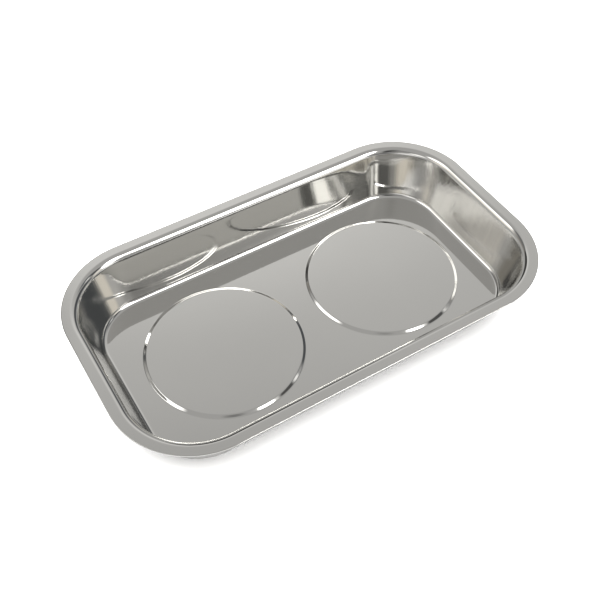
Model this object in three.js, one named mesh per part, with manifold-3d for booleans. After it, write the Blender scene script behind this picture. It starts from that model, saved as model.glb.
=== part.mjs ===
// Magnetic parts tray: a deep-drawn stainless dish on two rubber-covered magnet feet.
// Millimetres, +X along the length, +Z up. The origin is under the middle of the tray, on the plane
// that the feet stand on.

import * as THREE from "three";
import { mergeVertices } from "three/addons/utils/BufferGeometryUtils.js";
import Module from "manifold-3d";

const wasm = await Module();
wasm.setup();

// ---- driving dimensions -------------------------------------------------------------------------

const TRAY_LENGTH = 240;
const TRAY_WIDTH = 140;
const RIM_CORNER_RADIUS = 43.7;
const SHEET = 0.7;                  // sheet thickness
const DISH_DEPTH = 29.3;            // rim's top face down to the floor's top face
const RIM_WIDTH = 4.7;              // flat part of the rim
const RIM_BEND_RADIUS = 4;          // rim to wall, on the top face
const FLOOR_FILLET_RADIUS = 3;      // wall to floor, on the top face
const WALL_DRAFT = THREE.MathUtils.degToRad(15.5);

const PAD_SPACING = 98.6;           // between the centres of the raised floor pads
const PAD_RADIUS = 41.1;            // flat top of a pad
const PAD_STEP = 0.8;               // height of a pad above the floor
const PAD_SLOPE = 1.1;              // width of the sloping edge round a pad

const FOOT_HEIGHT = 12;             // pad's underside down to the standing plane
const GAP = 0.3;                    // between pieces that touch
const WELD_GAP = 0.1;               // between a stud's flange and the pad it is welded to

const COVER_RADIUS = 39;
const COVER_BASE = 2.9;             // thickness of rubber under the magnet
const COVER_EDGE_ROUND = 1.6;       // rounded lower edge
const COVER_TOP_ROUND = 0.8;
const GROOVE_RADII = [16, 20.5, 25];  // middles of the grip grooves under the cover
const GROOVE_WIDTH = 1.8;
const GROOVE_DEPTH = 0.9;
const GROOVE_TAPER = 0.6;           // width of a groove's bottom as a share of its mouth
const RECESS_RADIUS = 10;           // nut recess in the middle of the cover
const RECESS_WALL = 2.4;
const RECESS_FLOOR = 1.8;           // thickness of rubber under the washer
const RECESS_CHAMFER = 1;

const CUP_RADIUS = 35;
const CUP_SHEET = 1.2;
const CUP_CORNER = 2;
const MAGNET_HOLE_RADIUS = 15;
const MAGNET_THICKNESS = 7;
const MAGNET_CHAMFER = 0.5;

const STUD_RADIUS = 2.5;            // M5
const STUD_FLANGE_RADIUS = 3.25;
const STUD_FLANGE_THICKNESS = 0.9;
const STUD_TIP_HEIGHT = 1;          // stud's tip above the standing plane
const STUD_CHAMFER = 0.5;
const STUD_CLEARANCE = 0.35;        // holes round the stud, on the radius
const FLAT_WASHER = { outer: 7.5, inner: 2.8, thickness: 1.2 };
const SPRING_WASHER = { outer: 4.6, inner: 2.8, thickness: 1.2, split: 1 };
const NUT = { acrossFlats: 8, height: 4, bore: 2.8 };

const CORNER_STEPS = 10;            // facets in a quarter turn of the dish
const ROUND_STEPS = 40;             // facets round the pads, magnets and covers
const SMALL_ROUND_STEPS = 20;       // facets round the fasteners

// ---- heights worked out from them ---------------------------------------------------------------

const PAD_UNDERSIDE_Z = FOOT_HEIGHT;
const FLOOR_Z = PAD_UNDERSIDE_Z + SHEET - PAD_STEP;     // floor's top face
const RIM_Z = FLOOR_Z + DISH_DEPTH;
const WALL_SWEEP = Math.PI / 2 - WALL_DRAFT;            // angle that each bend turns through
const WALL_LENGTH =
  (DISH_DEPTH - (RIM_BEND_RADIUS + FLOOR_FILLET_RADIUS) * (1 - Math.sin(WALL_DRAFT))) / Math.cos(WALL_DRAFT);
const FLOOR_INSET = RIM_WIDTH + (RIM_BEND_RADIUS + FLOOR_FILLET_RADIUS) * Math.cos(WALL_DRAFT)
  + WALL_LENGTH * Math.sin(WALL_DRAFT);                 // rim's edge in to the flat floor

const CUP_TOP_Z = PAD_UNDERSIDE_Z - GAP;
const MAGNET_TOP_Z = CUP_TOP_Z - CUP_SHEET - GAP;
const MAGNET_BOTTOM_Z = MAGNET_TOP_Z - MAGNET_THICKNESS;
const RECESS_ROOF_Z = CUP_TOP_Z - CUP_SHEET - GAP - RECESS_FLOOR;
const WASHER_TOP_Z = RECESS_ROOF_Z - GAP;
const SPRING_TOP_Z = WASHER_TOP_Z - FLAT_WASHER.thickness - GAP;
const NUT_TOP_Z = SPRING_TOP_Z - SPRING_WASHER.thickness - GAP;

// ---- materials ----------------------------------------------------------------------------------

function finish(color, metalness, roughness) {
  return new THREE.MeshStandardMaterial({ color, metalness, roughness });
}

const STAINLESS = 0xb9b8b3;
const ZINC = 0xa9adb0;
const FERRITE = 0x3a3b3d;
const RUBBER = 0x1b1c1d;

// ---- building helpers ---------------------------------------------------------------------------

// a closed mesh with shared vertices and its faces turned outwards
function closed(geometry) {
  geometry.deleteAttribute("normal");
  geometry.deleteAttribute("uv");
  const merged = mergeVertices(geometry, 1e-4);
  const p = merged.attributes.position;
  const index = merged.index.array;
  const corner = (i) => new THREE.Vector3().fromBufferAttribute(p, index[i]);
  let volume = 0;
  for (let i = 0; i < index.length; i += 3) {
    volume += corner(i).dot(corner(i + 1).cross(corner(i + 2)));
  }
  if (volume < 0) {
    for (let i = 0; i < index.length; i += 3) {
      [index[i], index[i + 1]] = [index[i + 1], index[i]];
    }
  }
  return merged;
}

function toSolid(geometry) {
  const mesh = closed(geometry);
  return new wasm.Manifold(new wasm.Mesh({
    numProp: 3,
    vertProperties: new Float32Array(mesh.attributes.position.array),
    triVerts: new Uint32Array(mesh.index.array),
  }));
}

function fromSolid(solid) {
  const mesh = solid.getMesh();
  const geometry = new THREE.BufferGeometry();
  geometry.setAttribute("position", new THREE.BufferAttribute(mesh.vertProperties, 3));
  geometry.setIndex(new THREE.BufferAttribute(mesh.triVerts, 1));
  return geometry;
}

// a solid of revolution about Z from a profile of [radius, z] points
function turned(profile, steps = ROUND_STEPS) {
  const points = profile.map(([radius, z]) => new THREE.Vector2(radius, z));
  if (points[0].x > 0) points.push(points[0].clone());
  return new THREE.LatheGeometry(points, steps).rotateX(Math.PI / 2);
}

// [radius, z] points on an arc, with the angle counted from +radius towards +z
function arc(centreRadius, centreZ, radius, from, to, steps) {
  return Array.from({ length: steps + 1 }, (_, i) => {
    const angle = THREE.MathUtils.degToRad(from + (to - from) * i / steps);
    return [centreRadius + radius * Math.cos(angle), centreZ + radius * Math.sin(angle)];
  });
}

function ring({ outer, inner }, bottom, top, steps) {
  return turned([[inner, bottom], [outer, bottom], [outer, top], [inner, top]], steps);
}

// the dish's outline, moved in from the rim's edge by an inset
function outline(inset) {
  const radius = RIM_CORNER_RADIUS - inset;
  const x = TRAY_LENGTH / 2 - RIM_CORNER_RADIUS;
  const y = TRAY_WIDTH / 2 - RIM_CORNER_RADIUS;
  const centres = [[x, y], [-x, y], [-x, -y], [x, -y]];
  return centres.flatMap(([cx, cy], quarter) =>
    Array.from({ length: CORNER_STEPS + 1 }, (_, i) => {
      const angle = (quarter + i / CORNER_STEPS) * Math.PI / 2;
      return [cx + radius * Math.cos(angle), cy + radius * Math.sin(angle)];
    }));
}

// a closed skin through a list of [inset, z] outlines, capped at its first and last
function lofted(sections) {
  const rings = sections.map(([inset, z]) => outline(inset).map(([x, y]) => [x, y, z]));
  const count = rings[0].length;
  const positions = rings.flat(2);
  const faces = [];
  for (let r = 0; r + 1 < rings.length; r++) {
    for (let i = 0; i < count; i++) {
      const next = (i + 1) % count;
      const [a, b] = [r * count + i, r * count + next];
      faces.push(a, b, b + count, a, b + count, a + count);
    }
  }
  for (const [r, flip] of [[0, true], [rings.length - 1, false]]) {
    const hub = positions.length / 3;
    positions.push(0, 0, sections[r][1]);
    for (let i = 0; i < count; i++) {
      const [a, b] = [r * count + i, r * count + (i + 1) % count];
      faces.push(hub, flip ? b : a, flip ? a : b);
    }
  }
  const geometry = new THREE.BufferGeometry();
  geometry.setAttribute("position", new THREE.Float32BufferAttribute(positions, 3));
  geometry.setIndex(faces);
  return geometry;
}

// ---- the pressed dish ---------------------------------------------------------------------------

// the wall's section from the rim to the floor, on the face that lies this far below the top face
function wallSection(below) {
  const bendSteps = 4;
  const filletSteps = 5;
  const bend = RIM_BEND_RADIUS - below;
  const fillet = FLOOR_FILLET_RADIUS + below;
  const bendCentreZ = RIM_Z - RIM_BEND_RADIUS;
  const filletCentreZ = FLOOR_Z + FLOOR_FILLET_RADIUS;
  const points = [[0, RIM_Z - below]];
  for (let i = 0; i <= bendSteps; i++) {
    const turn = WALL_SWEEP * i / bendSteps;
    points.push([RIM_WIDTH + bend * Math.sin(turn), bendCentreZ + bend * Math.cos(turn)]);
  }
  for (let i = filletSteps; i >= 0; i--) {
    const turn = WALL_SWEEP * i / filletSteps;
    points.push([FLOOR_INSET - fillet * Math.sin(turn), filletCentreZ - fillet * Math.cos(turn)]);
  }
  return points;
}

// a pad's flat-topped mound, standing up from a base buried in the sheet
function padMound(radius, baseZ, stepZ, topZ) {
  const foot = radius + PAD_SLOPE;
  return turned([[0, baseZ], [foot, baseZ], [foot, stepZ], [radius, topZ], [0, topZ]]);
}

function trayDish() {
  const topFace = wallSection(0).reverse();
  const underFace = wallSection(SHEET);
  const buried = SHEET / 2;
  let dish = toSolid(lofted([...topFace, ...underFace]));
  for (const side of [-1, 1]) {
    const x = side * PAD_SPACING / 2;
    const mound = padMound(PAD_RADIUS, FLOOR_Z - buried, FLOOR_Z, FLOOR_Z + PAD_STEP).translate(x, 0, 0);
    dish = dish.add(toSolid(mound));
  }
  for (const side of [-1, 1]) {
    const x = side * PAD_SPACING / 2;
    const underFloor = FLOOR_Z - SHEET;
    const dent = padMound(PAD_RADIUS - SHEET / 2, underFloor - buried, underFloor, underFloor + PAD_STEP);
    dish = dish.subtract(toSolid(dent.translate(x, 0, 0)));
  }
  return fromSolid(dish);
}

// ---- one magnet foot ----------------------------------------------------------------------------

function weldStud() {
  const top = PAD_UNDERSIDE_Z - WELD_GAP;
  return turned([
    [0, STUD_TIP_HEIGHT],
    [STUD_RADIUS - STUD_CHAMFER, STUD_TIP_HEIGHT],
    [STUD_RADIUS, STUD_TIP_HEIGHT + STUD_CHAMFER],
    [STUD_RADIUS, top - STUD_FLANGE_THICKNESS],
    [STUD_FLANGE_RADIUS, top - STUD_FLANGE_THICKNESS],
    [STUD_FLANGE_RADIUS, top],
    [0, top],
  ], SMALL_ROUND_STEPS);
}

function poleCup() {
  const inner = CUP_RADIUS - CUP_SHEET;
  const innerCorner = CUP_CORNER - CUP_SHEET;
  const plateUnderside = CUP_TOP_Z - CUP_SHEET;
  const hole = STUD_FLANGE_RADIUS + STUD_CLEARANCE;
  return turned([
    [hole, plateUnderside],
    ...arc(inner - innerCorner, plateUnderside - innerCorner, innerCorner, 90, 0, 2),
    [inner, MAGNET_BOTTOM_Z],
    [CUP_RADIUS, MAGNET_BOTTOM_Z],
    ...arc(CUP_RADIUS - CUP_CORNER, CUP_TOP_Z - CUP_CORNER, CUP_CORNER, 0, 90, 3),
    [hole, CUP_TOP_Z],
  ]);
}

function ringMagnet() {
  const outer = CUP_RADIUS - CUP_SHEET - 2 * GAP;
  const chamfer = MAGNET_CHAMFER;
  return turned([
    [MAGNET_HOLE_RADIUS, MAGNET_BOTTOM_Z],
    [outer - chamfer, MAGNET_BOTTOM_Z],
    [outer, MAGNET_BOTTOM_Z + chamfer],
    [outer, MAGNET_TOP_Z - chamfer],
    [outer - chamfer, MAGNET_TOP_Z],
    [MAGNET_HOLE_RADIUS, MAGNET_TOP_Z],
  ]);
}

// grip grooves cut up into the cover's standing face, from the middle outwards
function grooveProfile() {
  const mouth = GROOVE_WIDTH / 2;
  const bottom = mouth * GROOVE_TAPER;
  return GROOVE_RADII.flatMap((middle) => [
    [middle - mouth, 0], [middle - bottom, GROOVE_DEPTH],
    [middle + bottom, GROOVE_DEPTH], [middle + mouth, 0],
  ]);
}

function rubberCover() {
  const recessOuter = RECESS_RADIUS + RECESS_WALL;
  const inner = CUP_RADIUS + GAP;
  const recessTop = RECESS_ROOF_Z + RECESS_FLOOR;
  const hole = STUD_RADIUS + STUD_CLEARANCE;
  return turned([
    [hole, RECESS_ROOF_Z],
    [RECESS_RADIUS, RECESS_ROOF_Z],
    [RECESS_RADIUS, RECESS_CHAMFER],
    [RECESS_RADIUS + RECESS_CHAMFER, 0],
    ...grooveProfile(),
    ...arc(COVER_RADIUS - COVER_EDGE_ROUND, COVER_EDGE_ROUND, COVER_EDGE_ROUND, -90, 0, 3),
    ...arc(COVER_RADIUS - COVER_TOP_ROUND, CUP_TOP_Z - COVER_TOP_ROUND, COVER_TOP_ROUND, 0, 90, 2),
    [inner, CUP_TOP_Z],
    [inner, COVER_BASE],
    [recessOuter, COVER_BASE],
    [recessOuter, recessTop],
    [hole, recessTop],
  ]);
}

function springWasher() {
  const { outer, inner, thickness, split } = SPRING_WASHER;
  const outerCut = Math.asin(split / 2 / outer);
  const innerCut = Math.asin(split / 2 / inner);
  const shape = new THREE.Shape();
  shape.absarc(0, 0, outer, outerCut, 2 * Math.PI - outerCut, false);
  shape.absarc(0, 0, inner, 2 * Math.PI - innerCut, innerCut, true);
  shape.closePath();
  return new THREE.ExtrudeGeometry(shape, {
    depth: thickness, bevelEnabled: false, curveSegments: SMALL_ROUND_STEPS,
  }).translate(0, 0, SPRING_TOP_Z - thickness);
}

function hexNut() {
  const cornerRadius = NUT.acrossFlats / Math.sqrt(3);
  const chamfer = cornerRadius - NUT.acrossFlats / 2;
  const bottom = NUT_TOP_Z - NUT.height;
  const prism = new THREE.CylinderGeometry(cornerRadius, cornerRadius, NUT.height, 6)
    .rotateX(Math.PI / 2).translate(0, 0, bottom + NUT.height / 2);
  const face = NUT.acrossFlats / 2;
  const roundedEnds = turned([
    [0, bottom], [face, bottom], [face + 2 * chamfer, bottom + chamfer],
    [face + 2 * chamfer, NUT_TOP_Z - chamfer], [face, NUT_TOP_Z], [0, NUT_TOP_Z],
  ], SMALL_ROUND_STEPS);
  const [boreBottom, boreTop] = [bottom - 1, NUT_TOP_Z + 1];
  const bore = turned([[0, boreBottom], [NUT.bore, boreBottom], [NUT.bore, boreTop], [0, boreTop]],
    SMALL_ROUND_STEPS);
  return fromSolid(toSolid(prism).intersect(toSolid(roundedEnds)).subtract(toSolid(bore)));
}

// ---- assembly -----------------------------------------------------------------------------------

function piece(name, geometry, material) {
  const mesh = new THREE.Mesh(closed(geometry), material);
  mesh.name = name;
  return mesh;
}

function magnetFoot(side, x) {
  const foot = new THREE.Group();
  foot.position.x = x;
  const washer = ring(FLAT_WASHER, WASHER_TOP_Z - FLAT_WASHER.thickness, WASHER_TOP_Z, SMALL_ROUND_STEPS);
  foot.add(
    piece(`${side}_weld_stud`, weldStud(), finish(ZINC, 1, 0.35)),
    piece(`${side}_pole_cup`, poleCup(), finish(ZINC, 1, 0.4)),
    piece(`${side}_ring_magnet`, ringMagnet(), finish(FERRITE, 0, 0.6)),
    piece(`${side}_rubber_cover`, rubberCover(), finish(RUBBER, 0, 0.75)),
    piece(`${side}_flat_washer`, washer, finish(ZINC, 1, 0.35)),
    piece(`${side}_spring_washer`, springWasher(), finish(ZINC, 1, 0.35)),
    piece(`${side}_hex_nut`, hexNut(), finish(ZINC, 1, 0.35)),
  );
  return foot;
}

const tray = new THREE.Group();
tray.add(piece("tray_dish", trayDish(), finish(STAINLESS, 1, 0.25)));
tray.add(magnetFoot("left", -PAD_SPACING / 2));
tray.add(magnetFoot("right", PAD_SPACING / 2));

export default tray;
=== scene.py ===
"""Looks of the magnetic parts tray: fine meshes, procedural materials, studio light and camera.

Meshes are worked out in millimetres, in the frame of the CAD model, and made in metres.
"""
import math

import bmesh
import bpy
from mathutils import Matrix, Vector


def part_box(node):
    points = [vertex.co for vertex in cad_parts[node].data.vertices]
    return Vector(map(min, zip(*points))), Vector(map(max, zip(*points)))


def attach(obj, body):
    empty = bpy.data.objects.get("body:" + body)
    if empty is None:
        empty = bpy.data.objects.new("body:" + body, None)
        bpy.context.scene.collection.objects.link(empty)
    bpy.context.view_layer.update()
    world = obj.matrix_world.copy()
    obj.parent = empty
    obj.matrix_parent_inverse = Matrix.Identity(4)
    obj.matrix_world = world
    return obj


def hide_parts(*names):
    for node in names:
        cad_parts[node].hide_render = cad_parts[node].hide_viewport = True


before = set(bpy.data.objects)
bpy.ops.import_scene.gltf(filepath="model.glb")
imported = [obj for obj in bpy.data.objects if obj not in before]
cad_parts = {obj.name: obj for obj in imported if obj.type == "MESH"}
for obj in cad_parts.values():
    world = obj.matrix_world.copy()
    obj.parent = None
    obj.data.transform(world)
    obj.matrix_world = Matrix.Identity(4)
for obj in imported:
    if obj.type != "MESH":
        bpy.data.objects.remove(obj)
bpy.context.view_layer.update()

MM = 0.001
SAME_POINT = 1e-6           # metres

# ---- sizes, in millimetres ------------------------------------------------------------------

DISH_LOW, DISH_HIGH = (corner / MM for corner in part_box("tray_dish"))
HALF_LENGTH, HALF_WIDTH = DISH_HIGH.x, DISH_HIGH.y
RIM_Z = DISH_HIGH.z
SHEET = 0.7
RIM_CORNER_RADIUS = 43.7
RIM_WIDTH = 4.7
RIM_BEND_RADIUS = 4.0
RIM_EDGE_ROUND = 0.2
FLOOR_Z = DISH_LOW.z + SHEET
FLOOR_FILLET_RADIUS = 3.0
WALL_DRAFT = math.radians(15.5)

PAD_STEP = 0.8
PAD_RADIUS = 40.6           # flat top
PAD_SLOPE = 1.9             # width of the rounded step down to the floor
PAD_ROUNDING = 0.2          # share of that width that each of its two bends takes
PAD_CENTRES = {
    side: (sum(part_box(f"{side}_rubber_cover"), Vector()) / 2 / MM).x for side in ("left", "right")
}

# ---- sampling of the fine meshes ------------------------------------------------------------

CORNER_STEPS = 28
SIDE_STEPS = 30             # along half a long side
END_STEPS = 30              # along a whole short side
SEAM_STEPS = 40             # across the floor between the pads
ROUND_STEPS = 96            # round the feet
FASTENER_STEPS = 64
FILLET_STEPS, BEND_STEPS, WALL_STEPS = 18, 14, 8
PAD_EDGE_STEPS = 12         # across a pad's step
LIP_SHARES = (0.93, 0.66, 0.33, 0.1)        # rows across the flat rim, as shares of its width
PAD_TOP_RADII = [0, 8, 16, 24, 32, 38, 40.2]
PAD_SURROUND = 0.5          # flat ring kept round a pad's step
FLOOR_SHARES = (0.25, 0.5, 0.75, 0.93, 1)   # rows from a pad to the floor's edge
THREAD_ROWS = 12            # rows of points in one turn of the thread


# ---- mesh helpers ---------------------------------------------------------------------------

def make_piece(name, points, faces, material, nodes, smooth_angle=35):
    """A named piece made of points in millimetres, which stands for CAD nodes."""
    mesh = bpy.data.meshes.new(name)
    mesh.from_pydata([Vector(p) * MM for p in points], [], faces)
    mesh.materials.append(material)
    piece = bpy.data.objects.new(name, mesh)
    bpy.context.scene.collection.objects.link(piece)
    tidy_mesh(mesh)
    mesh.shade_smooth()
    mesh.set_sharp_from_angle(angle=math.radians(smooth_angle))
    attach(piece, "root")
    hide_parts(*nodes)
    return piece


def tidy_mesh(mesh):
    """Joins doubled points and turns every face outwards."""
    work = bmesh.new()
    work.from_mesh(mesh)
    bmesh.ops.remove_doubles(work, verts=work.verts, dist=SAME_POINT)
    bmesh.ops.recalc_face_normals(work, faces=work.faces)
    work.to_mesh(mesh)
    work.free()


def bridge(rows, first=0, closed=True):
    """Quads between neighbouring rows of points that are numbered one row after another."""
    faces = []
    for r in range(len(rows) - 1):
        start = first + sum(len(row) for row in rows[:r])
        count = len(rows[r])
        for i in range(count if closed else count - 1):
            j = (i + 1) % count
            faces.append((start + i, start + j, start + count + j, start + count + i))
    return faces


def arc(centre_a, centre_b, radius, start, stop, steps):
    """(a, b) points on an arc, with angles in degrees from +a towards +b."""
    points = []
    for i in range(steps + 1):
        angle = math.radians(start + (stop - start) * i / steps)
        points.append((centre_a + radius * math.cos(angle), centre_b + radius * math.sin(angle)))
    return points


def turned(profile, centre_x, steps=ROUND_STEPS):
    """Points and faces of a profile of (radius, z) points turned about an upright axis."""
    points, faces = [], []
    count = len(profile)
    for i in range(steps):
        angle = 2 * math.pi * i / steps
        for radius, z in profile:
            points.append((centre_x + radius * math.cos(angle), radius * math.sin(angle), z))
    for i in range(steps):
        here, there = i * count, (i + 1) % steps * count
        for k in range(count):
            n = (k + 1) % count
            if profile[k][0] == profile[n][0] == 0:
                continue
            faces.append((here + k, there + k, there + n, here + n))
    return points, faces


# ---- the pressed dish -----------------------------------------------------------------------

def half_outline():
    """(anchor x, anchor y, normal x, normal y) samples round the +X half, from -Y round to +Y."""
    reach_x, reach_y = HALF_LENGTH - RIM_CORNER_RADIUS, HALF_WIDTH - RIM_CORNER_RADIUS
    samples = [(reach_x * i / SIDE_STEPS, -reach_y, 0, -1) for i in range(SIDE_STEPS)]
    for i in range(CORNER_STEPS):
        turn = math.pi / 2 * i / CORNER_STEPS
        samples.append((reach_x, -reach_y, math.sin(turn), -math.cos(turn)))
    for i in range(END_STEPS):
        samples.append((reach_x, reach_y * (2 * i / END_STEPS - 1), 1, 0))
    for i in range(CORNER_STEPS):
        turn = math.pi / 2 * i / CORNER_STEPS
        samples.append((reach_x, reach_y, math.cos(turn), math.sin(turn)))
    samples += [(reach_x * (1 - i / SIDE_STEPS), reach_y, 0, 1) for i in range(SIDE_STEPS + 1)]
    return samples


def at_inset(sample, inset, z):
    """The point of an outline sample that lies this far in from the rim's edge."""
    anchor_x, anchor_y, normal_x, normal_y = sample
    reach = RIM_CORNER_RADIUS - inset
    return (anchor_x + reach * normal_x, anchor_y + reach * normal_y, z)


def wall_section():
    """(inset, z) points from the floor's edge over the rim and back down the outside."""
    sweep = 90 - math.degrees(WALL_DRAFT)
    bends = RIM_BEND_RADIUS + FLOOR_FILLET_RADIUS
    depth = RIM_Z - FLOOR_Z
    slant = (depth - bends * (1 - math.sin(WALL_DRAFT))) / math.cos(WALL_DRAFT)
    floor_inset = RIM_WIDTH + bends * math.cos(WALL_DRAFT) + slant * math.sin(WALL_DRAFT)

    def face(below):
        fillet = arc(floor_inset, FLOOR_Z + FLOOR_FILLET_RADIUS, FLOOR_FILLET_RADIUS + below,
                     -90, -90 - sweep, FILLET_STEPS)
        bend = arc(RIM_WIDTH, RIM_Z - RIM_BEND_RADIUS, RIM_BEND_RADIUS - below,
                   90 - sweep, 90, BEND_STEPS)
        foot, top = fillet[-1], bend[0]
        shares = [step / WALL_STEPS for step in range(1, WALL_STEPS)]
        wall = [(foot[0] + (top[0] - foot[0]) * share, foot[1] + (top[1] - foot[1]) * share)
                for share in shares]
        lip = [(RIM_WIDTH * share, RIM_Z - below) for share in LIP_SHARES]
        return fillet + wall + bend + lip

    inside, outside = face(0), face(SHEET)
    upper_edge = arc(RIM_EDGE_ROUND, RIM_Z - RIM_EDGE_ROUND, RIM_EDGE_ROUND, 90, 180, 4)
    lower_edge = arc(RIM_EDGE_ROUND, RIM_Z - SHEET + RIM_EDGE_ROUND, RIM_EDGE_ROUND, 180, 270, 4)
    return inside + upper_edge + lower_edge + outside[::-1], floor_inset


def pad_height(radius):
    """Height above the floor at a distance from a pad's centre: a rounded step."""
    share = min(1, max(0, (radius - PAD_RADIUS) / PAD_SLOPE))
    to_end = min(share, 1 - share)          # how far in from the nearer end of the step
    steepest = 1 / (1 - PAD_ROUNDING)
    if to_end < PAD_ROUNDING:
        fall = steepest * to_end ** 2 / 2 / PAD_ROUNDING
    else:
        fall = steepest * (to_end - PAD_ROUNDING / 2)
    return PAD_STEP * (1 - fall if share < 0.5 else fall)


def floor_rows(outline, floor_inset, centre_x, below):
    """Rows of floor points for the +X half, from the pad's centre out to the floor's edge."""
    reach_y = HALF_WIDTH - floor_inset
    edge = [at_inset(s, floor_inset, 0)[:2] for s in outline]
    edge += [(0, reach_y * (1 - 2 * i / SEAM_STEPS)) for i in range(1, SEAM_STEPS)]
    base = FLOOR_Z - below
    radii = PAD_TOP_RADII + [PAD_RADIUS + PAD_SLOPE * i / PAD_EDGE_STEPS for i in range(PAD_EDGE_STEPS + 1)]
    radii += [PAD_RADIUS + PAD_SLOPE + PAD_SURROUND]
    rows = []
    for radius in radii:
        row = []
        for x, y in edge:
            away = math.hypot(x - centre_x, y)
            row.append((centre_x + radius * (x - centre_x) / away, radius * y / away,
                        base + pad_height(radius)))
        rows.append(row)
    last = rows[-1]
    for share in FLOOR_SHARES:
        rows.append([(a[0] + (x - a[0]) * share, a[1] + (y - a[1]) * share, base)
                     for a, (x, y) in zip(last, edge)])
    return rows


def dish_mesh():
    """Both halves of the dish: walls and rim in one skin, with the floor's two faces."""
    outline = half_outline()
    section, floor_inset = wall_section()
    walls = [[at_inset(sample, inset, z) for sample in outline] for inset, z in section]
    top = floor_rows(outline, floor_inset, PAD_CENTRES["right"], 0)
    under = floor_rows(outline, floor_inset, PAD_CENTRES["right"], SHEET)
    points, faces = [], []
    for mirror in (1, -1):
        for rows, closed in ((walls, False), (top, True), (under, True)):
            faces += bridge(rows, len(points), closed)
            points += [(mirror * x, y, z) for row in rows for x, y, z in row]
    return points, faces


def make_dish():
    points, faces = dish_mesh()
    make_piece("dish", points, faces, stainless_material(), ["tray_dish"])


# ---- the magnet feet ------------------------------------------------------------------------

GROOVE_RADII = (16, 20.5, 25)
GROOVE_WIDTH, GROOVE_DEPTH = 1.8, 0.9
COVER_EDGE_ROUND, COVER_TOP_ROUND, COVER_BASE = 1.6, 0.8, 2.9
GROOVE_STEPS, GROOVE_ROUNDNESS = 12, 0.6
RECESS_RADIUS, RECESS_WALL, RECESS_CHAMFER, RECESS_FLOOR, RECESS_ROUND = 10, 2.4, 1, 1.8, 0.6
CUP_SHEET, CUP_CORNER, CUP_HOLE = 1.2, 2.0, 3.6
MAGNET_BORE, MAGNET_ROUND_INNER, MAGNET_ROUND_OUTER = 15, 0.4, 0.5
WASHER_BORE, WASHER_ROUND_INNER, WASHER_ROUND_OUTER = 2.8, 0.1, 0.25
LOCK_WASHER_RADIUS, LOCK_WASHER_SPLIT, LOCK_WASHER_ROUND = 4.6, 1.0, 0.15
NUT_FLAT, NUT_BORE, NUT_BORE_CHAMFER, NUT_CHAMFER_ANGLE = 4.0, 2.8, 0.35, 30
NUT_TURNED_SHARE, NUT_FACE_SHARE = 0.97, 0.94
STUD_RADIUS, STUD_CLEARANCE, THREAD_PITCH, THREAD_DEPTH = 2.5, 0.35, 0.8, 0.36
STUD_FLANGE, STUD_CHAMFER = 0.9, 0.5
GAP = 0.3


def node_size(node):
    """Centre x, outer radius, lowest z and highest z of a round CAD node, in millimetres."""
    low, high = (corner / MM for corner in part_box(node))
    return (low.x + high.x) / 2, (high.x - low.x) / 2, low.z, high.z


def rounded_ring(inner, outer, low, high, round_inner, round_outer, steps=5):
    """Profile of a ring with rounded edges."""
    return (
        arc(inner + round_inner, low + round_inner, round_inner, 180, 270, steps)
        + arc(outer - round_outer, low + round_outer, round_outer, 270, 360, steps)
        + arc(outer - round_outer, high - round_outer, round_outer, 0, 90, steps)
        + arc(inner + round_inner, high - round_inner, round_inner, 90, 180, steps)
    )


def groove_profile(middle):
    """A round-bottomed grip groove in the cover's standing face."""
    points = []
    for i in range(GROOVE_STEPS + 1):
        share = i / GROOVE_STEPS
        dip = math.sin(math.pi * share) ** GROOVE_ROUNDNESS
        points.append((middle + GROOVE_WIDTH * (share - 0.5), GROOVE_DEPTH * dip))
    return points


def make_cover(side, material):
    node = f"{side}_rubber_cover"
    x, radius, low, high = node_size(node)
    cup_radius = node_size(f"{side}_pole_cup")[1]
    roof = node_size(f"{side}_flat_washer")[3] + GAP
    hole = STUD_RADIUS + STUD_CLEARANCE
    profile = [(hole, roof)]
    profile += arc(RECESS_RADIUS - RECESS_ROUND, roof - RECESS_ROUND, RECESS_ROUND, 90, 0, 5)
    profile += arc(RECESS_RADIUS + RECESS_CHAMFER, RECESS_CHAMFER, RECESS_CHAMFER, 180, 270, 6)
    for middle in GROOVE_RADII:
        profile += groove_profile(middle)
    profile += arc(radius - COVER_EDGE_ROUND, COVER_EDGE_ROUND, COVER_EDGE_ROUND, -90, 0, 8)
    profile += arc(radius - COVER_TOP_ROUND, high - COVER_TOP_ROUND, COVER_TOP_ROUND, 0, 90, 6)
    profile += [
        (cup_radius + GAP, high), (cup_radius + GAP, COVER_BASE),
        (RECESS_RADIUS + RECESS_WALL, COVER_BASE), (RECESS_RADIUS + RECESS_WALL, roof + RECESS_FLOOR),
        (hole, roof + RECESS_FLOOR),
    ]
    points, faces = turned([(r, low + z) for r, z in profile], x)
    make_piece(f"{side}_cover", points, faces, material, [node], 50)


def make_cup(side, material):
    node = f"{side}_pole_cup"
    x, radius, low, high = node_size(node)
    middle = (radius - CUP_CORNER, high - CUP_CORNER)
    profile = [(CUP_HOLE, high - CUP_SHEET)]
    profile += arc(*middle, CUP_CORNER - CUP_SHEET, 90, 0, 4)
    profile += [(radius - CUP_SHEET, low), (radius, low)]
    profile += arc(*middle, CUP_CORNER, 0, 90, 8)
    profile += [(CUP_HOLE, high)]
    points, faces = turned(profile, x)
    make_piece(f"{side}_cup", points, faces, material, [node])


def make_magnet(side, material):
    node = f"{side}_ring_magnet"
    x, radius, low, high = node_size(node)
    profile = rounded_ring(MAGNET_BORE, radius, low, high, MAGNET_ROUND_INNER, MAGNET_ROUND_OUTER)
    points, faces = turned(profile, x)
    make_piece(f"{side}_magnet", points, faces, material, [node])


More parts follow.
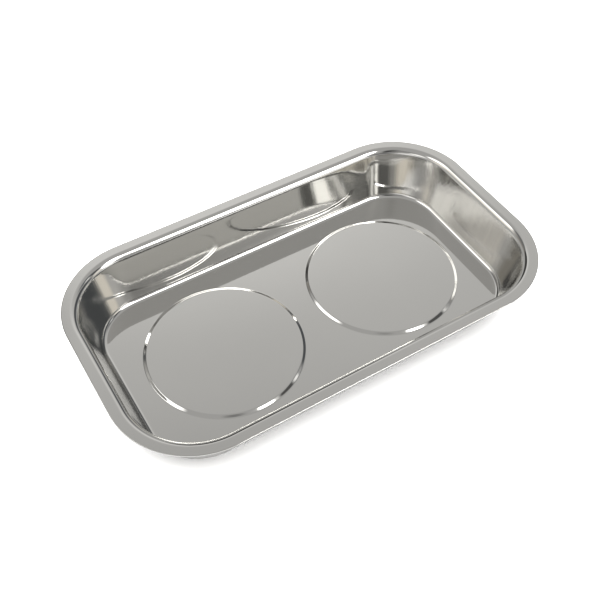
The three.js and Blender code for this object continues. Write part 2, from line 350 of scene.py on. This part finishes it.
def make_flat_washer(side, material):
    node = f"{side}_flat_washer"
    x, radius, low, high = node_size(node)
    profile = rounded_ring(WASHER_BORE, radius, low, high, WASHER_ROUND_INNER, WASHER_ROUND_OUTER)
    points, faces = turned(profile, x, FASTENER_STEPS)
    make_piece(f"{side}_washer", points, faces, material, [node], 50)


def make_spring_washer(side, material):
    """A split ring of rounded rectangular wire."""
    node = f"{side}_spring_washer"
    x, _, low, high = node_size(node)
    section = rounded_ring(WASHER_BORE, LOCK_WASHER_RADIUS, low, high,
                           LOCK_WASHER_ROUND, LOCK_WASHER_ROUND, 3)
    half_cut = math.asin(LOCK_WASHER_SPLIT / 2 / LOCK_WASHER_RADIUS)
    points = []
    for i in range(FASTENER_STEPS + 1):
        angle = half_cut + (2 * math.pi - 2 * half_cut) * i / FASTENER_STEPS
        points += [(x + r * math.cos(angle), r * math.sin(angle), z) for r, z in section]
    rows = [section] * (FASTENER_STEPS + 1)
    faces = bridge(rows)
    count = len(section)
    faces += [tuple(range(count)), tuple(range(len(points) - count, len(points)))]
    make_piece(f"{side}_lock_washer", points, faces, material, [node], 50)


def make_nut(side, material):
    """A hexagon nut with turned chamfers on both ends and a chamfered bore."""
    node = f"{side}_hex_nut"
    x, _, low, high = node_size(node)
    slope = math.tan(math.radians(NUT_CHAMFER_ANGLE))
    mouth = NUT_BORE + NUT_BORE_CHAMFER
    bore_foot = [(NUT_BORE, low + NUT_BORE_CHAMFER), (mouth, low)]
    bore_top = [(mouth, high), (NUT_BORE, high - NUT_BORE_CHAMFER)]
    points, faces = [], []
    angles = [2 * math.pi * i / FASTENER_STEPS for i in range(FASTENER_STEPS)]
    angles = sorted(angles + [math.pi / 6 + math.pi / 3 * k for k in range(6)])
    for angle in angles:
        turn = (angle + math.pi / 3) % (math.pi / 3) - math.pi / 6
        reach = NUT_FLAT / math.cos(turn)
        drop = max(0, reach - NUT_FLAT * NUT_TURNED_SHARE) * slope
        face_edge = NUT_FLAT * NUT_FACE_SHARE
        section = [*bore_foot, (face_edge, low), (reach, low + drop), (reach, high - drop),
                   (face_edge, high), *bore_top]
        points += [(x + r * math.sin(angle), r * math.cos(angle), z) for r, z in section]
    count = len(points) // len(angles)
    for i in range(len(angles)):
        here, there = i * count, (i + 1) % len(angles) * count
        for k in range(count):
            n = (k + 1) % count
            faces.append((here + k, there + k, there + n, here + n))
    make_piece(f"{side}_nut", points, faces, material, [node], 25)


def make_stud(side, material):
    """A stud with a real helical thread below its weld flange."""
    node = f"{side}_weld_stud"
    x, flange_radius, low, high = node_size(node)
    top = high - STUD_FLANGE
    steps = THREAD_ROWS * int((top - low) / THREAD_PITCH)
    rows = [[(x, 0, low)] * FASTENER_STEPS]
    for k in range(steps + 1):
        z = low + (top - low) * k / steps
        row = []
        for i in range(FASTENER_STEPS):
            angle = 2 * math.pi * i / FASTENER_STEPS
            phase = (z / THREAD_PITCH - i / FASTENER_STEPS) % 1
            radius = STUD_RADIUS - THREAD_DEPTH * (1 - abs(2 * phase - 1))
            radius = min(radius, STUD_RADIUS - STUD_CHAMFER + (z - low))
            row.append((x + radius * math.cos(angle), radius * math.sin(angle), z))
        rows.append(row)
    for radius, z in ((flange_radius, top), (flange_radius, high), (0, high)):
        rows.append([(x + radius * math.cos(2 * math.pi * i / FASTENER_STEPS),
                      radius * math.sin(2 * math.pi * i / FASTENER_STEPS), z)
                     for i in range(FASTENER_STEPS)])
    points = [point for row in rows for point in row]
    make_piece(f"{side}_stud", points, bridge(rows), material, [node], 50)


# ---- materials ------------------------------------------------------------------------------

class Nodes:
    """Short calls for adding shader nodes to one material or world."""

    def __init__(self, tree):
        self.tree = tree

    def add(self, kind, inputs=None, **settings):
        node = self.tree.nodes.new(kind)
        for name, value in settings.items():
            setattr(node, name, value)
        for name, value in (inputs or {}).items():
            if isinstance(value, bpy.types.NodeSocket):
                self.tree.links.new(value, node.inputs[name])
            else:
                node.inputs[name].default_value = value
        return node

    def position(self, scale=(1, 1, 1)):
        """Place on the object in millimetres, stretched by a scale."""
        place = self.add("ShaderNodeTexCoord").outputs["Object"]
        return self.add("ShaderNodeMapping", {"Vector": place, "Scale": [v / MM for v in scale]}).outputs[0]

    def noise(self, vector, scale, detail=2.0, roughness=0.5):
        node = self.add("ShaderNodeTexNoise",
                        {"Vector": vector, "Scale": scale, "Detail": detail, "Roughness": roughness})
        return node.outputs["Fac"]

    def around_dish(self):
        """Millimetres along the straight walls and round the corners, the same all the way up."""
        reach = [HALF_LENGTH - RIM_CORNER_RADIUS, HALF_WIDTH - RIM_CORNER_RADIUS, 0]
        place = self.position()
        anchor = self.vector("MINIMUM", place, reach)
        anchor = self.vector("MAXIMUM", anchor, [-v for v in reach])
        away = self.add("ShaderNodeSeparateXYZ", {0: self.vector("SUBTRACT", place, anchor)})
        turn = self.maths("ARCTAN2", away.outputs["Y"], away.outputs["X"])
        round_corner = self.maths("MULTIPLY", turn, CORNER_REACH)
        flat_anchor = self.vector("MULTIPLY", anchor, (1, 1, 0))
        corner = self.add("ShaderNodeCombineXYZ", {2: round_corner}).outputs[0]
        return self.vector("ADD", flat_anchor, corner)

    def vector(self, operation, a, b):
        return self.add("ShaderNodeVectorMath", {0: a, 1: b}, operation=operation).outputs[0]

    def dot(self, a, b):
        return self.add("ShaderNodeVectorMath", {0: a, 1: b}, operation="DOT_PRODUCT").outputs["Value"]

    def ramp(self, value, low, high, to_low, to_high, smooth=False):
        ends = {"From Min": low, "From Max": high, "To Min": to_low, "To Max": to_high}
        kind = "SMOOTHSTEP" if smooth else "LINEAR"
        node = self.add("ShaderNodeMapRange", {"Value": value, **ends}, interpolation_type=kind)
        return node.outputs["Result"]

    def maths(self, operation, a, b=0.0):
        return self.add("ShaderNodeMath", {0: a, 1: b}, operation=operation).outputs[0]

    def colours(self, share, first, second):
        node = self.add("ShaderNodeMix", data_type="RGBA")
        self.tree.links.new(share, node.inputs["Factor"])
        node.inputs[6].default_value = (*first, 1)
        node.inputs[7].default_value = (*second, 1)
        return node.outputs[2]

    def bump(self, height, strength, distance, normal=None):
        inputs = {"Height": height, "Strength": strength, "Distance": distance}
        if normal is not None:
            inputs["Normal"] = normal
        return self.add("ShaderNodeBump", inputs).outputs["Normal"]


def new_material(name):
    material = bpy.data.materials.new(name)
    material.use_nodes = True
    shader = material.node_tree.nodes["Principled BSDF"]
    return material, Nodes(material.node_tree), shader


def link(nodes, shader, **sockets):
    for name, value in sockets.items():
        nodes.tree.links.new(value, shader.inputs[name.replace("_", " ")])


CORNER_REACH = 35.0         # millimetres round a corner for each radian
SCRATCH_DEPTH = 0.000005    # metres, as are the other two depths
MARK_DEPTH = 0.00004
WAVE_DEPTH = 0.00003
LONG_WALL_MARKS = 0.15      # share of the marks that the gently drawn long walls keep


def stainless_material():
    """Deep-drawn stainless: nearly mirror-bright, with drawing marks that run up the walls."""
    material, n, shader = new_material("stainless")
    shader.inputs["Metallic"].default_value = 1
    normal = n.add("ShaderNodeNewGeometry").outputs["Normal"]
    facing = n.add("ShaderNodeSeparateXYZ", {0: normal})
    flatness = n.ramp(n.maths("ABSOLUTE", facing.outputs["Z"]), 0.35, 0.95, 0, 1, True)
    steepness = n.maths("SUBTRACT", 1.0, flatness)
    long_wall = n.ramp(n.maths("ABSOLUTE", facing.outputs["Y"]), 0.75, 0.94, 0, 1, True)
    drawn = n.maths("MULTIPLY", steepness, n.ramp(long_wall, 0, 1, 1, LONG_WALL_MARKS))

    grain = n.noise(n.position((0.15, 1, 1)), 4.0, 3)
    cloud = n.noise(n.position(), 0.03, 2)
    around = n.around_dish()
    marks = n.noise(around, 3.0, 2)
    waves = n.noise(around, 0.2, 1)

    flat_rough = n.ramp(grain, 0.3, 0.7, 0.03, 0.05)
    wall_rough = n.ramp(marks, 0.3, 0.7, 0.02, 0.05)
    rough = n.add("ShaderNodeMix", {"Factor": flatness, 2: wall_rough, 3: flat_rough}).outputs[0]
    tint = n.colours(cloud, (0.705, 0.70, 0.682), (0.735, 0.73, 0.71))
    marked = n.bump(n.maths("MULTIPLY", marks, drawn), 1.0, MARK_DEPTH)
    waved = n.bump(n.maths("MULTIPLY", waves, steepness), 1.0, WAVE_DEPTH, marked)
    link(n, shader, Base_Color=tint, Roughness=rough, Normal=n.bump(grain, 0.2, SCRATCH_DEPTH, waved))
    return material


def zinc_material():
    """Bright zinc plating with a faint spangle."""
    material, n, shader = new_material("zinc_plate")
    shader.inputs["Metallic"].default_value = 1
    spangle = n.noise(n.position(), 1.4, 3)
    tint = n.colours(spangle, (0.50, 0.52, 0.54), (0.62, 0.63, 0.63))
    link(n, shader, Base_Color=tint, Roughness=n.ramp(spangle, 0.3, 0.7, 0.26, 0.42),
         Normal=n.bump(n.noise(n.position(), 6.0), 0.08, 0.0001))
    return material


def ferrite_material():
    """Sintered ferrite, dull dark grey with a fine grain."""
    material, n, shader = new_material("ferrite")
    grain = n.noise(n.position(), 5.0, 4)
    tint = n.colours(grain, (0.03, 0.03, 0.033), (0.065, 0.064, 0.066))
    link(n, shader, Base_Color=tint, Roughness=n.ramp(grain, 0.3, 0.7, 0.5, 0.72),
         Normal=n.bump(grain, 0.3, 0.0002))
    return material


def rubber_material():
    """Moulded black rubber with a fine spark-eroded texture and a little dusty wear."""
    material, n, shader = new_material("rubber")
    pits = n.noise(n.position(), 3.5, 4, 0.65)
    dust = n.noise(n.position(), 0.12, 3)
    tint = n.colours(n.ramp(dust, 0.45, 0.75, 0, 1), (0.016, 0.016, 0.017), (0.036, 0.035, 0.034))
    shader.inputs["Specular IOR Level"].default_value = 0.35
    link(n, shader, Base_Color=tint, Roughness=n.ramp(pits, 0.3, 0.7, 0.55, 0.8),
         Normal=n.bump(pits, 0.35, 0.0002))
    return material


# ---- stage, light and camera ----------------------------------------------------------------

def direction(azimuth, elevation):
    """Unit vector: azimuth 0 is along +Y and 90 along +X; elevation is above the horizon."""
    a, e = math.radians(azimuth), math.radians(elevation)
    return Vector((math.sin(a) * math.cos(e), math.cos(a) * math.cos(e), math.sin(e)))


FLOOR_REACH = 12.0
FLOOR_GLOW = 0.10
FLOOR_SEEN, FLOOR_MIRRORED = 0.9, 0.36      # greys of the floor to the camera and in reflections
TOP_LIGHT_AZIMUTH, TOP_LIGHT_ELEVATION = 200, 78
TOP_LIGHT_STRENGTH, TOP_LIGHT_SPREAD = 6.5, 42


def make_floor():
    """A pale floor that looks lighter to the camera than in reflections, so the steel isn't washed out."""
    mesh = bpy.data.meshes.new("floor")
    corners = [(-1, -1, 0), (1, -1, 0), (1, 1, 0), (-1, 1, 0)]
    mesh.from_pydata([Vector(corner) * FLOOR_REACH for corner in corners], [], [(0, 1, 2, 3)])
    material, n, shader = new_material("floor")
    shader.inputs["Roughness"].default_value = 1
    shader.inputs["Specular IOR Level"].default_value = 0
    shader.inputs["Emission Color"].default_value = (1, 1, 1, 1)
    shader.inputs["Emission Strength"].default_value = FLOOR_GLOW
    seen = n.add("ShaderNodeLightPath").outputs["Is Camera Ray"]
    link(n, shader, Base_Color=n.colours(seen, [FLOOR_MIRRORED] * 3, [FLOOR_SEEN] * 3))
    mesh.materials.append(material)
    floor = bpy.data.objects.new("floor", mesh)
    bpy.context.scene.collection.objects.link(floor)


def make_top_light():
    """Soft overhead light that the steel doesn't mirror: it shades the floor close to the tray."""
    data = bpy.data.lights.new("top_light", "SUN")
    data.energy = TOP_LIGHT_STRENGTH
    data.angle = math.radians(TOP_LIGHT_SPREAD)
    light = bpy.data.objects.new("top_light", data)
    towards_light = direction(TOP_LIGHT_AZIMUTH, TOP_LIGHT_ELEVATION)
    light.rotation_euler = towards_light.to_track_quat("Z", "Y").to_euler()
    light.visible_glossy = False
    bpy.context.scene.collection.objects.link(light)


def patch(n, ray, azimuth, elevation, half_width, half_height, softness):
    """A soft-edged oval patch of the sky, 1 inside and 0 outside."""
    front = direction(azimuth, elevation)
    right = direction(azimuth + 90, 0)
    up = right.cross(front)
    spans = [(right, math.sin(math.radians(half_width))), (up, math.sin(math.radians(half_height)))]
    parts = [n.dot(ray, axis / span) for axis, span in spans]
    flat = n.add("ShaderNodeCombineXYZ", {0: parts[0], 1: parts[1]}).outputs[0]
    away = n.add("ShaderNodeVectorMath", {0: flat}, operation="LENGTH").outputs["Value"]
    inside = n.ramp(away, 1 - softness, 1 + softness, 1, 0, True)
    ahead = n.maths("GREATER_THAN", n.dot(ray, front), 0.0)
    return n.maths("MULTIPLY", inside, ahead)


NEUTRAL, WARM, COOL = (1.0, 0.99, 0.97), (1.06, 1.0, 0.90), (0.94, 0.99, 1.04)
ROOM_BRIGHTNESS = 0.45

# Soft patches of light and dark that the tray mirrors. Later ones cover earlier ones. Each has its
# azimuth, elevation, half width and half height in degrees, then softness, brightness and tone.
STUDIO = [
    (20, 46, 50, 11, 0.6, 0.58, NEUTRAL),       # backdrop behind the tray
    (20, 42, 18, 7, 0.6, 0.78, NEUTRAL),
    (300, 50, 17, 12, 0.25, 2.2, NEUTRAL),      # soft box on the left
    (306, 31, 12, 6, 0.5, 1.2, WARM),
    (284, 22, 14, 8, 0.5, 1.0, WARM),           # low reflectors on the left of the camera
    (249, 33, 12, 8, 0.5, 1.5, NEUTRAL),
    (230, 14, 16, 9, 0.6, 1.1, NEUTRAL),
    (145, 42, 14, 20, 0.5, 1.1, NEUTRAL),       # tall key light on the right of the camera
    (149, 44, 10, 21, 0.12, 6.5, NEUTRAL),
    (152, 6, 12, 9, 0.5, 1.4, NEUTRAL),
    (82, 24, 40, 13, 0.3, 0.10, COOL),          # unlit side of the room
    (97, 50, 14, 8, 0.5, 0.15, COOL),
    (107, 44, 7, 4, 0.4, 1.1, NEUTRAL),
    (338, 30, 18, 7, 0.4, 0.28, WARM),
    (348, 44, 13, 11, 0.3, 0.20, NEUTRAL),      # gap between the soft box and the backdrop
    (10, 30, 15, 11, 0.15, 0.06, NEUTRAL),
    (120, 47, 9, 9, 0.3, 0.10, NEUTRAL),        # dark edge of the key light
    (184, 20, 14, 9, 0.4, 0.2, NEUTRAL),        # camera and photographer
    (200, 40, 11, 28, 0.4, 0.06, NEUTRAL),
    (203, 29, 9, 7, 0.4, 0.40, NEUTRAL),
    (222, 50, 14, 11, 0.5, 0.30, NEUTRAL),
    (131, 23, 8, 9, 0.4, 0.95, WARM),           # glow of the key light on the wall beside it
]


def make_world():
    world = bpy.data.worlds.new("studio")
    bpy.context.scene.world = world
    world.use_nodes = True
    n = Nodes(world.node_tree)
    ray = n.add("ShaderNodeTexCoord").outputs["Generated"]
    light = [ROOM_BRIGHTNESS * share for share in NEUTRAL]
    for azimuth, elevation, width, tall, softness, brightness, tone in STUDIO:
        glow = patch(n, ray, azimuth, elevation, width, tall, softness)
        colour = [brightness * share for share in tone]
        light = n.add("ShaderNodeMix", {0: glow, 4: light, 5: colour}, data_type="VECTOR").outputs[1]
    seen = n.add("ShaderNodeLightPath").outputs["Is Camera Ray"]
    shown = n.add("ShaderNodeMix", {0: seen, 4: light, 5: (1, 1, 1)}, data_type="VECTOR").outputs[1]
    n.tree.links.new(shown, world.node_tree.nodes["Background"].inputs["Color"])


# the camera looks at the middle of the rim's plane, with its optical axis a little off centre
CAMERA_AZIMUTH, CAMERA_ELEVATION, CAMERA_ROLL = -31.0, 48.45, -0.4
CAMERA_DISTANCE = 0.4618
LENS, SHIFT_X, SHIFT_Y = 53.73, -0.009, -0.0417


def make_camera():
    back = -direction(-CAMERA_AZIMUTH, -CAMERA_ELEVATION)
    right = Vector((0, 0, 1)).cross(back).normalized()
    up = back.cross(right)
    roll = math.radians(CAMERA_ROLL)
    rolled_right = right * math.cos(roll) + up * math.sin(roll)
    rolled_up = up * math.cos(roll) - right * math.sin(roll)
    data = bpy.data.cameras.new("camera")
    data.lens, data.shift_x, data.shift_y = LENS, SHIFT_X, SHIFT_Y
    camera = bpy.data.objects.new("camera", data)
    turn = Matrix((rolled_right, rolled_up, back)).transposed().to_4x4()
    camera.matrix_world = Matrix.Translation(Vector((0, 0, RIM_Z * MM)) + back * CAMERA_DISTANCE) @ turn
    bpy.context.scene.collection.objects.link(camera)
    bpy.context.scene.camera = camera


# ---- everything together --------------------------------------------------------------------

make_camera()
make_dish()
zinc, ferrite, rubber = zinc_material(), ferrite_material(), rubber_material()
for side in ("left", "right"):
    make_cover(side, rubber)
    make_magnet(side, ferrite)
    for make in (make_cup, make_flat_washer, make_spring_washer, make_nut, make_stud):
        make(side, zinc)
make_floor()
make_top_light()
make_world()
bpy.context.scene.view_settings.view_transform = "Standard"
